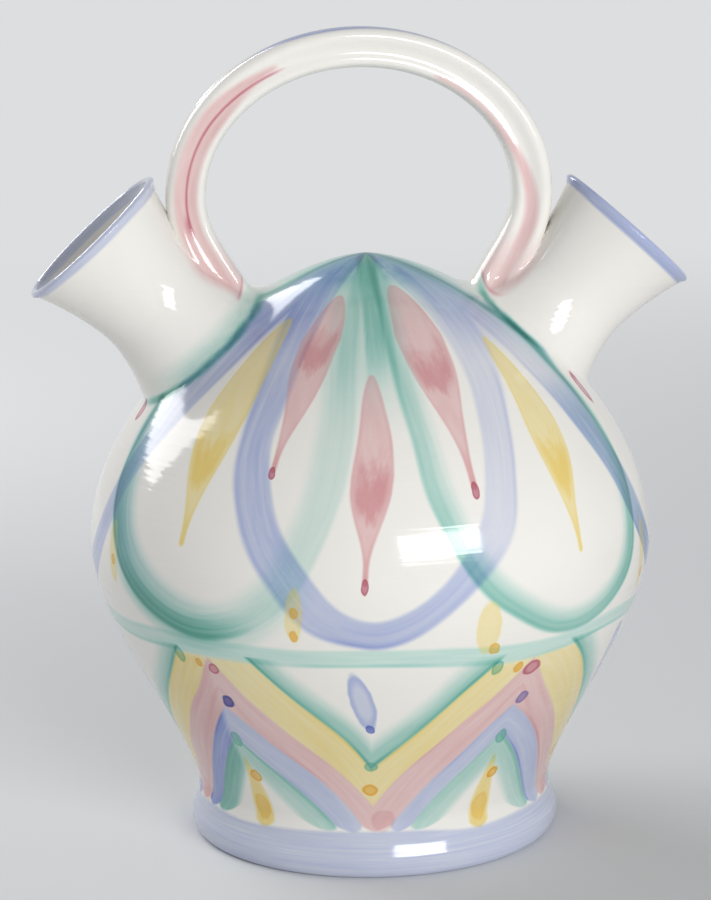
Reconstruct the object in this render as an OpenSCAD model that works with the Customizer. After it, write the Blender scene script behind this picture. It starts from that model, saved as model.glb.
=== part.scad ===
// Two-spouted vase with a stirrup handle: one glazed pot, hollow, with a closed pointed crown.
// Millimetres. Z points up, the pot stands on z = 0, and its spouts and handle lie in the XZ plane.

/* [Foot] */
// Outer radius of the flat ring that the pot stands on
stand_r = 66; // [62:0.5:70]
// How far the rounded foot bulges out past the standing ring
foot_bulge = 3.6; // [2:0.1:5]
// Height of the rounded foot, up to its crease with the body
foot_h = 11; // [8:0.5:14]
// Width of the flat standing ring
ring_w = 9; // [6:0.5:14]
// Depth of the recess under the foot
recess_h = 3; // [2:0.5:5]
// Thickness of the floor over the recess
floor_t = 6; // [4:0.5:9]

/* [Body] */
// Wall thickness of the thrown body
wall = 5; // [4:0.25:7]
// Radius at the belly, the widest place
belly_r = 104.5; // [95:0.5:112]
// Height of the belly
belly_z = 113.5; // [105:0.5:122]
// Height of the crown's tip, the closed top of the body
crown_z = 218; // [212:0.5:226]
// How far the lower side leans in above the foot before it swells
waist_pull = 4; // [0:0.5:8]
// How high the upright lower side reaches before it swells to the belly
waist_rise = 23; // [16:0.5:32]
// How far the belly's fullness reaches down
belly_fall = 35; // [25:0.5:45]
// How far the belly's fullness reaches up
belly_rise = 49; // [40:0.5:58]
// How far the crown's slope runs out before it turns down to the shoulder
crown_reach = 41.5; // [30:0.5:50]
// How far the crown falls over that reach
crown_fall = 4; // [1:0.5:10]

/* [Spouts] */
// Height above the belly of the point on the body's axis from which both spouts point outwards
spout_lift = 4.5; // [0:0.5:10]
// Angle of the spouts above the horizontal
spout_tilt = 47.4; // [44:0.2:52]
// Distance from that root point to the left mouth
left_reach = 149; // [142:0.5:156]
// Distance from that root point to the right mouth
right_reach = 145.5; // [140:0.5:154]
// Outer radius of the left lip
left_mouth_r = 30.8; // [27:0.2:34]
// Outer radius of the right lip
right_mouth_r = 29.5; // [27:0.2:34]
// Outer radius of the spouts at the narrow of the neck
neck_r = 21.9; // [19:0.1:25]
// Length of the trumpet flare below the lip
flare_len = 36.5; // [28:0.5:44]
// How sharply the trumpet turns out: 1 is a cone
flare_power = 1.8; // [1.3:0.1:2.6]
// Distance below the lip where the neck starts to spread into the body
spread_start = 30; // [24:0.5:36]
// How much wider the neck is 20 mm further down
neck_spread = 3.6; // [1:0.2:6]
// Wall thickness in the neck
spout_wall = 4.4; // [3.4:0.2:6]
// Thickness of the rounded lip
lip_t = 3.2; // [2.4:0.1:4.4]

/* [Handle] */
// Height of the middle of the handle's arch above the crown's tip
arch_lift = 21.5; // [16:0.5:28]
// Half the width of the arch, to the middle of the strap
arch_r = 64; // [58:0.5:70]
// Rise of the arch above its middle, to the middle of the strap
arch_rise = 54; // [46:0.5:62]
// How far the handle sits left of the body's axis
arch_shift = 2; // [0:0.5:4]
// Thickness of the strap, across the arch
strap_t = 15.4; // [12:0.2:18]
// Depth of the strap, front to back
strap_w = 17; // [13:0.2:21]
// Depth of the flute along the front and back faces
flute_h = 2.4; // [0:0.1:3.5]
// How far that flute sits inside the middle of the strap
flute_shift = 1.4; // [0:0.1:3]
// Depth of the shallow channel along the outer face
channel_h = 1.2; // [0:0.1:2]
// Distance of the middle of a handle foot from the handle's own middle
foot_x = 46.8; // [43:0.1:52]
// How far the arch runs straight down before its legs bend in
leg_drop = 14.5; // [8:0.5:20]
// Angle above the horizontal at which a leg meets the crown
foot_angle = 63; // [52:0.5:75]
// How straight the leg runs at its foot: the length along which it keeps that angle
foot_run = 18; // [10:0.5:24]
// How much thicker the strap is at its feet, as a share
foot_swell = 0.16; // [0:0.02:0.4]
// How much deeper, front to back, the strap is at its feet, as a share
foot_spread = 0.3; // [0:0.02:0.5]

/* [Hidden] */
glaze = [0.93, 0.91, 0.87];
$fn = 96;
eps = 1;
// Flat steps that each curve is drawn in
roll_steps = 8;
lower_steps = 12;
upper_steps = 18;
lip_steps = 4;
neck_steps = 14;
arch_steps = 32;
leg_steps = 10;
section_steps = 28;
// The unseen hollow and the bores are drawn plainer
hollow_lower_steps = 6;
hollow_upper_steps = 8;
bore_steps = 7;
// Run of the neck over which it grows by neck_spread
spread_run = 20;
// Where a spout's clay and its bore start, measured from the root point: both lie in the hollow
clay_start = 83;
bore_start = 87;
// How far a handle foot runs on into the crown's wall, and where it stands on the crown
sunk = wall + 5;
arch_z = crown_z + arch_lift;
spout_root_z = belly_z + spout_lift;
// Exponent that rounds the strap's section: 1 is an ellipse, less is squarer
roundness = 0.7;

function bezier(p, t) = pow(1 - t, 3) * p[0] + 3 * pow(1 - t, 2) * t * p[1]
    + 3 * (1 - t) * t * t * p[2] + pow(t, 3) * p[3];
function slope(p, t) = 3 * pow(1 - t, 2) * (p[1] - p[0]) + 6 * (1 - t) * t * (p[2] - p[1])
    + 3 * t * t * (p[3] - p[2]);
function unit(v) = v / norm(v);
function left_of(v) = [-v[1], v[0]];

// Body outline, from the foot's crease to the belly and on to the crown's tip
lower = [
    [stand_r, foot_h],
    [stand_r - waist_pull, foot_h + waist_rise],
    [belly_r, belly_z - belly_fall],
    [belly_r, belly_z]
];
upper = [
    [belly_r, belly_z],
    [belly_r, belly_z + belly_rise],
    [crown_reach, crown_z - crown_fall],
    [0, crown_z]
];
foot_roll = [for (i = [0:roll_steps - 1])
    let (a = -90 + 180 * i / roll_steps)
    [stand_r + foot_bulge * cos(a), foot_h / 2 * (1 + sin(a))]];
shoulder = [for (i = [0:upper_steps]) bezier(upper, i / upper_steps)];
side = concat([for (i = [0:lower_steps - 1]) bezier(lower, i / lower_steps)], shoulder);

// The same side moved in by the wall, which is the hollow's outline
function inner(p, t) = let (q = bezier(p, t) + wall * left_of(unit(slope(p, t)))) [max(0, q[0]), q[1]];
hollow_side = concat(
    [for (i = [0:hollow_lower_steps - 1]) inner(lower, i / hollow_lower_steps)],
    [for (i = [0:hollow_upper_steps]) inner(upper, i / hollow_upper_steps)]
);
floor_z = recess_h + floor_t;
hollow_outline = concat(
    [[0, floor_z], [hollow_side[0][0] - wall, floor_z]],
    [for (q = hollow_side) if (q[1] > floor_z + eps) q]
);

module body_solid() {
    rotate_extrude() polygon(concat([[0, 0]], foot_roll, side));
}

module body_hollow() {
    rotate_extrude() polygon(hollow_outline);
}

module foot_recess() {
    recess_r = stand_r - ring_w;
    translate([0, 0, -eps]) cylinder(r1 = recess_r + eps, r2 = recess_r - recess_h, h = recess_h + eps);
}

// Outer radius of a spout at a depth below its lip
function spout_r(depth, mouth_r) =
    neck_r + (mouth_r - neck_r) * pow(max(0, 1 - depth / flare_len), flare_power)
    + neck_spread * pow(max(0, depth - spread_start) / spread_run, 2);
function spout_outline(mouth_r, depth, inset, steps) = [for (i = [0:steps])
    let (d = lip_t + (depth - lip_t) * i / steps)
    [spout_r(d, mouth_r) - inset(d), -d]];

// Puts a spout, drawn along Z with its lip at the top, on its own side of the body
module at_mouth(side_sign, reach) {
    translate([0, 0, spout_root_z]) rotate([0, side_sign * (90 - spout_tilt), 0])
        translate([0, 0, reach]) children();
}

module spout_solid(mouth_r, depth) {
    lip = [for (i = [0:lip_steps])
        let (a = 90 - 90 * i / lip_steps)
        [mouth_r - lip_t / 2 + lip_t / 2 * cos(a), lip_t / 2 * (sin(a) - 1)]];
    rotate_extrude() polygon(concat(
        [[0, 0]], lip, spout_outline(mouth_r, depth, function (d) 0, neck_steps), [[0, -depth]]
    ));
}

module spout_bore(mouth_r, depth) {
    wall_at = function (d) min(spout_wall, lip_t + (spout_wall - lip_t) * d / flare_len);
    lip = [for (i = [0:lip_steps])
        let (a = 90 + 90 * i / lip_steps)
        [mouth_r - lip_t / 2 + lip_t / 2 * cos(a), lip_t / 2 * (sin(a) - 1)]];
    rotate_extrude() polygon(concat(
        [[0, eps], [mouth_r - lip_t / 2, eps]], lip, spout_outline(mouth_r, depth, wall_at, bore_steps),
        [[0, -depth]]
    ));
}

// Middle line of the strap: an elliptic arch that bends in to two feet sunk in the crown
foot = [foot_x, lookup(foot_x, shoulder)];
foot_dir = [cos(foot_angle), sin(foot_angle)];
leg = [[arch_r, arch_z], [arch_r, arch_z - leg_drop], foot + foot_run * foot_dir, foot];
leg_end = foot - sunk * foot_dir;
function mirrored(p) = [-p[0], p[1]];
right_leg = concat([leg_end], [for (i = [leg_steps:-1:0]) bezier(leg, i / leg_steps)]);
arch = [for (i = [1:arch_steps - 1])
    let (a = 180 * i / arch_steps)
    [arch_r * cos(a), arch_z + arch_rise * sin(a)]];
route = concat(right_leg, arch, [for (i = [len(right_leg) - 1:-1:0]) mirrored(right_leg[i])]);
last = len(route) - 1;
function heading(i) = unit(route[min(last, i + 1)] - route[max(0, i - 1)]);
function swell(z) = pow(max(0, (arch_z - z) / (arch_z - foot[1])), 2);

// One point of the strap's section: outwards from the arch, and front to back
function section(a) =
    let (
        e = sign(cos(a)) * pow(abs(cos(a)), roundness) * strap_t / 2,
        w = sign(sin(a)) * pow(abs(sin(a)), roundness) * strap_w / 2,
        flute = flute_h * exp(-pow((e + flute_shift) / (strap_t / 4), 2)),
        channel = channel_h * exp(-pow(w / (strap_w / 4), 2))
    )
    [e > 0 ? e - channel * e * 2 / strap_t : e, w * (1 - flute * 2 / strap_w)];

module handle() {
    rings = [for (i = [0:last])
        let (n = [heading(i)[1], -heading(i)[0]], s = swell(route[i][1]))
        [for (k = [0:section_steps - 1])
            let (q = section(360 * k / section_steps), out = q[0] * (1 + foot_swell * s))
            [route[i][0] + n[0] * out - arch_shift, q[1] * (1 + foot_spread * s), route[i][1] + n[1] * out]]];
    m = section_steps;
    sides = [for (i = [0:last - 1], k = [0:m - 1])
        let (a = i * m + k, b = i * m + (k + 1) % m)
        each [[a, b + m, b], [a, a + m, b + m]]];
    polyhedron(
        points = [for (r = rings) each r],
        faces = concat(sides, [[for (k = [0:m - 1]) k]], [[for (k = [m - 1:-1:0]) last * m + k]])
    );
}

module vase() {
    color(glaze) difference() {
        union() {
            body_solid();
            at_mouth(-1, left_reach) spout_solid(left_mouth_r, left_reach - clay_start);
            at_mouth(1, right_reach) spout_solid(right_mouth_r, right_reach - clay_start);
            handle();
        }
        body_hollow();
        at_mouth(-1, left_reach) spout_bore(left_mouth_r, left_reach - bore_start);
        at_mouth(1, right_reach) spout_bore(right_mouth_r, right_reach - bore_start);
        foot_recess();
    }
}

vase();
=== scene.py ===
# %% [markdown]
# # A two-spouted vase with a stirrup handle
# The real vase is one piece of glazed earthenware. Its body is thrown on a wheel and closed at the
# crown, two trumpet spouts are thrown apart and set on its shoulders, and a pulled strap of clay
# arches over the crown. The maker then paints it with thin ceramic colours and dips it in glaze.
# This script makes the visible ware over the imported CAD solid, in the same frame, and paints it.

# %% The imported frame
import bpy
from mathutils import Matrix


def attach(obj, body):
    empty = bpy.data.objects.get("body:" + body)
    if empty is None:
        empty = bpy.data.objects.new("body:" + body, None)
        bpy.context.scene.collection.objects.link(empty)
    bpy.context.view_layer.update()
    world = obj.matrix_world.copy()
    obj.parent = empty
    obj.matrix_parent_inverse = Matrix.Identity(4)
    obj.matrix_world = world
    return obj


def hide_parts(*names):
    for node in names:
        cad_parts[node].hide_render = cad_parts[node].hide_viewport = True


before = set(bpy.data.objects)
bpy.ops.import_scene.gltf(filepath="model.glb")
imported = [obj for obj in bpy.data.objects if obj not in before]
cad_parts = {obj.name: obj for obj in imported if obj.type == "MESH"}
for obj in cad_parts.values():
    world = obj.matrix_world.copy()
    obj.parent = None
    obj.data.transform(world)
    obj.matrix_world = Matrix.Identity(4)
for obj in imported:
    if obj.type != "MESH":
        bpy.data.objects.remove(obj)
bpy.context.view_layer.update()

# %% [markdown]
# ## One class for all node maths
# A node tree is wires between boxes, and long sums are hard to read as boxes. A small class wraps
# one output socket, so that an expression such as `1 - mask * 0.5` adds the Math nodes by itself.
# Every other node comes from its one method, `node`, in geometry trees and materials alike.

# %% Wire: one output socket that takes part in sums
import math
import bpy
import numpy as np
from mathutils import Matrix, Vector


class Wire:
    """One output socket in a node tree."""

    def __init__(self, tree, socket=None):
        self.tree = tree
        self.socket = socket

    def node(self, kind, inputs=None, out=0, **settings):
        """Adds a node: its settings first, then its sockets' values or links. Gives one output."""
        made = self.tree.nodes.new(kind)
        for name, value in settings.items():
            setattr(made, name, value)
        for key, value in (inputs or {}).items():
            if isinstance(value, Wire):
                self.tree.links.new(value.socket, made.inputs[key])
            else:
                made.inputs[key].default_value = value
        return Wire(self.tree, made.outputs[out])

    def also(self, out):
        """Another output of the node that this wire comes from."""
        return Wire(self.tree, self.socket.node.outputs[out])

    def sum(self, operation, *values):
        """One Math node of these values."""
        return self.node("ShaderNodeMath", dict(enumerate(values)), operation=operation)

    def triple(self, x, y, z):
        """One vector of three values, each a wire or a number."""
        return self.node("ShaderNodeCombineXYZ", {0: x, 1: y, 2: z})

    def split(self):
        """The three values of a vector."""
        x = self.node("ShaderNodeSeparateXYZ", {0: self})
        return x, x.also(1), x.also(2)

    def rise(self, low, high):
        """0 below low, 1 above high, and a smooth rise between; falls if low is above high."""
        ends = {0: self, 1: low, 2: high, 3: 0.0, 4: 1.0}
        if low > high:
            ends = {0: self, 1: high, 2: low, 3: 1.0, 4: 0.0}
        return self.node("ShaderNodeMapRange", ends, interpolation_type="SMOOTHSTEP")

    def bell(self, wide):
        """1 where the value is 0, and a soft fall to 0 on both sides of it."""
        return (-(self / wide) ** 2.0).exp()

    def __neg__(self):
        return self.sum("MULTIPLY", self, -1)


# %% Its signs and short names, each one Math node
def maths(operation, mirrored=False):
    """A method that adds one Math node of the wire and of what it is given."""
    def method(self, *others):
        values = (*others, self) if mirrored else (self, *others)
        return self.sum(operation, *values)
    return method


two_sided = {"__add__": "ADD", "__sub__": "SUBTRACT", "__mul__": "MULTIPLY", "__truediv__": "DIVIDE"}
others = {"__pow__": "POWER", "__abs__": "ABSOLUTE", "sin": "SINE", "cos": "COSINE", "sqrt": "SQRT",
          "exp": "EXPONENT", "least": "MINIMUM", "most": "MAXIMUM", "above": "GREATER_THAN"}
for name, operation in {**two_sided, **others}.items():
    setattr(Wire, name, maths(operation))
for name, operation in two_sided.items():
    setattr(Wire, name.replace("__", "__r", 1), maths(operation, mirrored=True))
print("Wire is ready, with", len(two_sided) * 2 + len(others), "kinds of sum")

# %% [markdown]
# ## Growing a piece from a tree
# A thrown pot is a profile turned round an axis, so each clay piece is a Geometry Nodes tree with
# its sizes as named inputs. The modifier is set by the sockets' identifiers, evaluated once, and
# its result is kept as a plain mesh, because the booleans need real geometry.

# %% A tree with named sizes, and its result as a plain mesh
MM = 0.001
scene = bpy.context.scene
clay_stuff = bpy.data.materials.new("raw clay")
counts = ("Turns", "Rows")


def new_tree(name, sizes):
    """An empty geometry tree with an input for each size and count; gives their wires by name."""
    tree = bpy.data.node_groups.new(name, "GeometryNodeTree")
    for way in ("INPUT", "OUTPUT"):
        tree.interface.new_socket("Geometry", in_out=way, socket_type="NodeSocketGeometry")
    for label in (*sizes, *counts):
        kind = "NodeSocketInt" if label in counts else "NodeSocketFloat"
        tree.interface.new_socket(label, in_out="INPUT", socket_type=kind)
    start = Wire(tree).node("NodeGroupInput")
    return {label: start.also(label) for label in ("Geometry", *sizes, *counts)}


def close_tree(parts):
    """Joins the parts, welds seams and poles, and ends in Realize Instances and Set Material."""
    tree = parts[0].tree
    join = tree.nodes.new("GeometryNodeJoinGeometry")
    for part in parts:
        tree.links.new(part.socket, join.inputs[0])
    whole = Wire(tree, join.outputs[0])
    whole = whole.node("GeometryNodeMergeByDistance", {"Geometry": whole, "Distance": 2e-6})
    whole = whole.node("GeometryNodeRealizeInstances", {"Geometry": whole})
    whole = whole.node("GeometryNodeSetMaterial", {"Geometry": whole, "Material": clay_stuff})
    tree.links.new(whole.socket, tree.nodes.new("NodeGroupOutput").inputs[0])
    return tree


def grow(name, tree, values, path=None):
    """Runs the tree with these values and gives a plain mesh object."""
    holder = bpy.data.objects.new(name, path or bpy.data.meshes.new(name))
    scene.collection.objects.link(holder)
    modifier = holder.modifiers.new("grow", "NODES")
    modifier.node_group = tree
    for item in tree.interface.items_tree:
        if item.in_out == "INPUT" and item.name in values:
            modifier[item.identifier] = values[item.name]
    now = bpy.context.evaluated_depsgraph_get()
    mesh = bpy.data.meshes.new_from_object(holder.evaluated_get(now))
    bpy.data.objects.remove(holder)
    piece = bpy.data.objects.new(name, mesh)
    scene.collection.objects.link(piece)
    print(name, "has", len(mesh.vertices), "vertices and", len(mesh.polygons), "faces")
    return piece


# %% [markdown]
# ## Turning a profile
# A stretch of profile is turned by bending a grid: one side of the grid goes round the axis and the
# other runs along the profile, from the bottom outwards and up, so that the faces look outwards.
# Separate stretches keep their corners exact, which one long resampled curve would round off.

# %% One turned stretch of a profile
def sheet_of(size, rows):
    """A flat grid to be bent, with how far round (0 to 1) and how far along (0 to 1) each point is."""
    grid = size["Turns"].node("GeometryNodeMeshGrid", {
        "Size X": 1.0, "Size Y": 1.0, "Vertices X": size["Turns"] + 1, "Vertices Y": rows + 1})
    across, up, _ = grid.node("GeometryNodeInputPosition").split()
    return grid, across + 0.5, up + 0.5


def turned(size, rows, radius_and_height):
    """Bends a grid into a surface of revolution; radius and height are functions of the way along."""
    grid, around, along = sheet_of(size, rows)
    radius, height = radius_and_height(along)
    angle = around * math.tau
    spot = grid.triple(radius * angle.cos(), radius * angle.sin(), height)
    return grid.node("GeometryNodeSetPosition", {"Geometry": grid, "Position": spot})


def along_bezier(knots):
    """Radius and height along a Bezier profile; its four knots are pairs, the first of wires."""
    start = knots[0][0]
    names = ("Start", "Start Handle", "End Handle", "End")
    points = {name: start.triple(radius, 0.0, height) for name, (radius, height) in zip(names, knots)}
    curve = start.node(
        "GeometryNodeCurvePrimitiveBezierSegment", {"Resolution": 256, **points}, mode="POSITION")

    def at(along):
        spot = start.node(
            "GeometryNodeSampleCurve", {"Curves": curve, "Factor": along}, "Position", mode="FACTOR")
        radius, _, height = spot.split()
        return radius, height
    return at


def along_line(low, high):
    """Radius and height along a straight stretch between two pairs."""
    return lambda along: (low[0] + along * (high[0] - low[0]), low[1] + along * (high[1] - low[1]))


# %% [markdown]
# ## The thrown body
# On the real pot the body is one wall, from the recessed foot over a narrow waist to the full belly
# and up to a closed point. Two Bezier stretches give its side, part of an ellipse gives the rolled
# foot, and straight stretches give the standing ring and its recess. The sizes are the CAD's.

# %% The body's sizes and the knots of its side
body_sizes = {
    "Stand Radius": 66 * MM, "Foot Bulge": 3.6 * MM, "Foot Height": 11 * MM, "Ring Width": 9 * MM,
    "Recess": 3 * MM, "Waist Pull": 4 * MM, "Waist Rise": 23 * MM, "Belly Radius": 104.5 * MM,
    "Belly Height": 113.5 * MM, "Belly Fall": 35 * MM, "Belly Rise": 49 * MM,
    "Crown Reach": 41.5 * MM, "Crown Fall": 4 * MM, "Crown Height": 218 * MM}


def side_knots(size, wall=0.0):
    """Knots of the lower and the upper side, moved in by the wall, of wires or of numbers."""
    foot, foot_top, crown = size["Stand Radius"], size["Foot Height"], size["Crown Height"]
    belly, middle = size["Belly Radius"] - wall, size["Belly Height"]
    lower = [
        (foot - wall, foot_top), (foot - size["Waist Pull"] - wall, foot_top + size["Waist Rise"]),
        (belly, middle - size["Belly Fall"]), (belly, middle)]
    upper = [
        (belly, middle), (belly, middle + size["Belly Rise"] - wall * 0.5),
        (size["Crown Reach"], crown - size["Crown Fall"] - wall), (0.0, crown - wall)]
    return lower, upper


# %% The body's tree
foot_turn = math.radians(130)
crease_end = 0.085
size = new_tree("thrown body", body_sizes)
lower_knots, upper_knots = side_knots(size)
ring_edge = size["Stand Radius"] - size["Ring Width"]
recess_edge = ring_edge - size["Recess"]
low_end = size["Rows"] * 0.0
high_end = low_end + 1


def foot_roll(along):
    """The rolled foot, from the floor out to its widest and in again to where the crease begins."""
    swing = along * foot_turn
    return (size["Stand Radius"] + size["Foot Bulge"] * swing.sin() ** 0.8,
            size["Foot Height"] * 0.5 * (1 - swing.cos()))


def lower_side_from(along):
    """The lower side from a little above its lower end, where the glaze has filled the crease."""
    return along_bezier(lower_knots)(crease_end + along * (1 - crease_end))


roll_top, side_foot = foot_roll(high_end), lower_side_from(low_end)
crease_knots = [
    roll_top, (roll_top[0] - 1.5 * MM, roll_top[1] + 2.7 * MM),
    (side_foot[0] + 0.1 * MM, side_foot[1] - 4.5 * MM), side_foot]
body_tree = close_tree([
    turned(size, 4, along_line((0.0, size["Recess"]), (recess_edge, size["Recess"]))),
    turned(size, 2, along_line((recess_edge, size["Recess"]), (ring_edge, 0.0))),
    turned(size, 3, along_line((ring_edge, 0.0), (size["Stand Radius"], 0.0))),
    turned(size, 12, foot_roll),
    turned(size, 8, along_bezier(crease_knots)),
    turned(size, size["Rows"] * 0.41, lower_side_from),
    turned(size, size["Rows"] * 0.59, along_bezier(upper_knots))])
body = grow("vase", body_tree, {**body_sizes, "Turns": 288, "Rows": 132})

# %% [markdown]
# ## The hollow
# The hollow is the same side moved in by the wall. It only shows through the mouths, so it is drawn
# plainer, and it is cut out later. A second tree turns it from the same named sizes.

# %% The hollow's tree, a plainer cutter
wall = 5 * MM
floor_top = body_sizes["Recess"] + 6 * MM
size = new_tree("hollow", {**body_sizes, "Wall": 0, "Floor Top": 0})
inside_lower, inside_upper = side_knots(size, size["Wall"])
floor_corner = (size["Stand Radius"] - size["Wall"] * 2, size["Floor Top"])
hollow_tree = close_tree([
    turned(size, 3, along_line((0.0, size["Floor Top"]), floor_corner)),
    turned(size, 2, along_line(floor_corner, inside_lower[0])),
    turned(size, size["Rows"], along_bezier(inside_lower)),
    turned(size, size["Rows"], along_bezier(inside_upper))])
hollow = grow("hollow", hollow_tree, {
    **body_sizes, "Wall": wall, "Floor Top": floor_top, "Turns": 96, "Rows": 16})

# %% [markdown]
# ## The spouts
# Each spout is a thrown trumpet: a narrow neck that flares to a thin rolled lip, and spreads a
# little where it meets the shoulder. One tree gives both, and gives the bore as well when its
# thickness is more than nothing, so that clay and bore can't drift apart.

# %% A trumpet's profile: clay when Inset is 0, bore when it is 1
trumpet_sizes = {
    "Mouth Radius": 0, "Neck Radius": 21.9 * MM, "Flare Length": 36.5 * MM, "Flare Power": 1.8,
    "Spread Start": 30 * MM, "Neck Spread": 3.6 * MM, "Spread Run": 20 * MM, "Lip": 3.2 * MM,
    "Neck Wall": 4.4 * MM, "Depth": 0, "Inset": 0, "Reach": 0, "Tilt": 0, "Root Height": 118 * MM}
size = new_tree("trumpet", trumpet_sizes)
half_lip = size["Lip"] * 0.5
low_end = size["Rows"] * 0.0
high_end = low_end + 1


def trumpet_side(along):
    """From the deep end up to the lip: the neck's radius, less the wall where the bore is drawn."""
    depth = size["Depth"] + along * (size["Lip"] - size["Depth"])
    flare = (1 - depth / size["Flare Length"]).most(0.0) ** size["Flare Power"]
    spread = ((depth - size["Spread Start"]).most(0.0) / size["Spread Run"]) ** 2.0
    widening = (size["Mouth Radius"] - size["Neck Radius"]) * flare
    clay = size["Neck Radius"] + widening + size["Neck Spread"] * spread
    thicker = (size["Neck Wall"] - size["Lip"]) * depth / size["Flare Length"]
    thick = (size["Lip"] + thicker).least(size["Neck Wall"])
    return clay - thick * size["Inset"], -depth


def lip_roll(along):
    """A quarter roll up to the top of the lip, outside it for the clay and inside it for the bore."""
    swing = along * (math.pi / 2)
    side = 1 - 2 * size["Inset"]
    return size["Mouth Radius"] - half_lip + side * half_lip * swing.cos(), half_lip * (swing.sin() - 1)


# %% The trumpet's tree, turned upright and then leaned on the shoulder
side_end = (size["Mouth Radius"] - 2 * half_lip * size["Inset"], -half_lip)
lip_middle = size["Mouth Radius"] - half_lip
lid = 1 * MM * size["Inset"]
up = half_lip.triple(0.0, 0.0, size["Reach"])
lean = half_lip.triple(0.0, size["Tilt"], 0.0)
root = half_lip.triple(0.0, 0.0, size["Root Height"])
parts = []
for stretch in (
        turned(size, 2, along_line((0.0, -size["Depth"]), trumpet_side(low_end))),
        turned(size, size["Rows"], trumpet_side),
        turned(size, 1, along_line(trumpet_side(high_end), side_end)),
        turned(size, 6, lip_roll),
        turned(size, 1, along_line((lip_middle, 0.0), (lip_middle, lid))),
        turned(size, 3, along_line((lip_middle, lid), (0.0, lid)))):
    out_along = stretch.node("GeometryNodeTransform", {"Geometry": stretch, "Translation": up})
    parts.append(stretch.node("GeometryNodeTransform", {
        "Geometry": out_along, "Rotation": lean, "Translation": root}))
trumpet_tree = close_tree(parts)

# %% Two spouts and their bores
spout_slope = 47.4
tilt = math.radians(90 - spout_slope)
spouts = {
    "left": dict(reach=149 * MM, mouth=30.8 * MM, lean=-tilt),
    "right": dict(reach=145.5 * MM, mouth=29.5 * MM, lean=tilt)}
clay_start, bore_start = 83 * MM, 87 * MM
for side, spout in spouts.items():
    common = {**trumpet_sizes, "Mouth Radius": spout["mouth"], "Reach": spout["reach"],
              "Tilt": spout["lean"], "Turns": 96}
    spout["clay"] = grow(side + " spout", trumpet_tree, {
        **common, "Depth": spout["reach"] - clay_start, "Inset": 0.0, "Rows": 36})
    spout["bore"] = grow(side + " bore", trumpet_tree, {
        **common, "Depth": spout["reach"] - bore_start, "Inset": 1.0, "Rows": 16})

# %% [markdown]
# ## The handle
# The real handle is a strap of clay, pulled wet so that the fingers leave a flute along its front
# and back, and bent into an arch whose feet are pressed on to the crown. Its middle line is drawn
# once as a Bezier curve, and a tree sweeps the strap's section along it, thicker at the feet.

# %% Where the strap's right foot stands
arch_middle = np.array([-2 * MM, body_sizes["Crown Height"] + 21.5 * MM])
arch_half, arch_rise = 64 * MM, 54 * MM
foot_out, leg_drop, foot_run = 46.8 * MM, 14.5 * MM, 18 * MM
foot_lean = math.radians(63)
sunk = wall + 5 * MM


def on_bezier(knots, t):
    """Points on a cubic Bezier at the ways along in t."""
    t = np.asarray(t, float)[:, None]
    a, b, c, d = (np.array(k, float) for k in knots)
    return (1 - t) ** 3 * a + 3 * (1 - t) ** 2 * t * b + 3 * (1 - t) * t ** 2 * c + t ** 3 * d


lower_side, upper_side = side_knots(body_sizes)
shoulder = on_bezier(upper_side, np.linspace(0, 1, 400))
foot_height = np.interp(foot_out, shoulder[::-1, 0], shoulder[::-1, 1])
lean = np.array([math.cos(foot_lean), math.sin(foot_lean)])
foot_spot = np.array([foot_out, foot_height])
end_spot = foot_spot - sunk * lean
print("strap's feet stand", round(foot_height / MM, 1), "mm up")

# %% The middle line of the strap
round_off = 0.5523  # a quarter ellipse as one Bezier


def route_knots():
    """Knots of the whole line from right foot to left foot: (point, handle before, handle after)."""
    arch_end = np.array([arch_half, arch_middle[1]])
    top = np.array([0, arch_middle[1] + arch_rise])
    down, across = np.array([0, leg_drop]), np.array([arch_half * round_off, 0])
    right = [
        (end_spot, end_spot, end_spot + lean * sunk / 3),
        (foot_spot, foot_spot - lean * sunk / 3, foot_spot + lean * foot_run),
        (arch_end, arch_end - down, arch_end + np.array([0, arch_rise * round_off]))]
    flip = np.array([-1, 1])
    left = [(p * flip, after * flip, before * flip) for p, before, after in reversed(right)]
    return right + [(top, top + across, top - across)] + left


line = bpy.data.curves.new("strap line", "CURVE")
line.dimensions = "3D"
line.resolution_u = 64
spline = line.splines.new("BEZIER")
knots = route_knots()
spline.bezier_points.add(len(knots) - 1)
for point, (spot, before, after) in zip(spline.bezier_points, knots):
    point.handle_left_type = point.handle_right_type = "FREE"
    for name, at in (("co", spot), ("handle_left", before), ("handle_right", after)):
        setattr(point, name, (at[0] + arch_middle[0], 0.0, at[1]))

# %% The strap's tree
strap_sizes = {
    "Thickness": 15.4 * MM, "Depth": 17 * MM, "Roundness": 0.7, "Flute": 2.4 * MM, "Flute Shift": 1.4 * MM,
    "Channel": 1.2 * MM, "Arch Height": arch_middle[1], "Foot Height": foot_height,
    "Foot Swell": 0.16, "Foot Spread": 0.3, "Flute End": 9 * MM}
size = new_tree("strap", strap_sizes)
grid, around, along = sheet_of(size, size["Rows"])
spot = grid.node(
    "GeometryNodeSampleCurve", {"Curves": size["Geometry"], "Factor": along}, "Position", mode="FACTOR")
height = spot.split()[2]
way_x, _, way_z = spot.also("Tangent").split()
angle = around * math.tau
closed = (along * (1 - along)).above(1e-6)


def squared(value):
    """Keeps the sign and raises the size to the roundness, which squares a circle's corners."""
    return value.sum("SIGN", value) * abs(value) ** size["Roundness"]


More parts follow.
